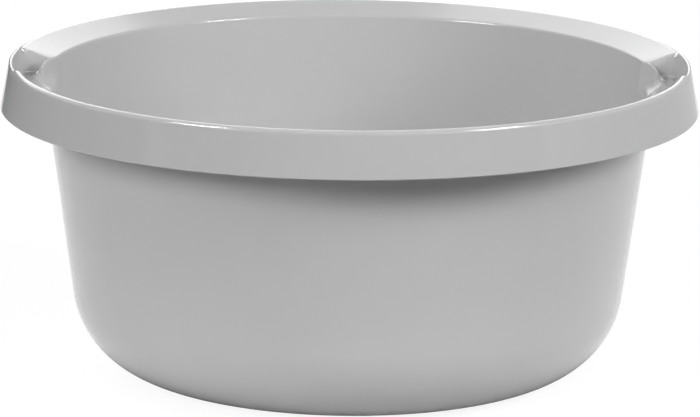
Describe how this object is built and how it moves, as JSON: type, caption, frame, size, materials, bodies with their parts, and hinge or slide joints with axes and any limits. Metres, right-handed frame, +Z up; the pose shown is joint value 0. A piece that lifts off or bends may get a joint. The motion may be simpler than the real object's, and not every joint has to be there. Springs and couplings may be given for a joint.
{
  "type": "round mixing tub",
  "caption": "Round light-grey plastic tub for mixing mortar or carrying water, with a sloped rim, an outer skirt and a sunken hand grip at each side.",
  "frame": {"origin": "on the floor, under the middle of the base", "axes": "+Z up along the tub's axis, +X towards the right-hand grip, -Y towards the front"},
  "size_m": [0.3997, 0.3998, 0.18],
  "materials": {
    "grey_plastic": "light grey moulded polypropylene, half gloss"
  },
  "bodies": {
    "root": {"base_panel": "grey_plastic", "standing_ring": "grey_plastic", "bottom_curve": "grey_plastic", "bowl_wall": "grey_plastic", "skirt": "grey_plastic", "rim_front": "grey_plastic", "rim_back": "grey_plastic", "grip_left": "grey_plastic", "grip_right": "grey_plastic"}
  },
  "joints": []
}
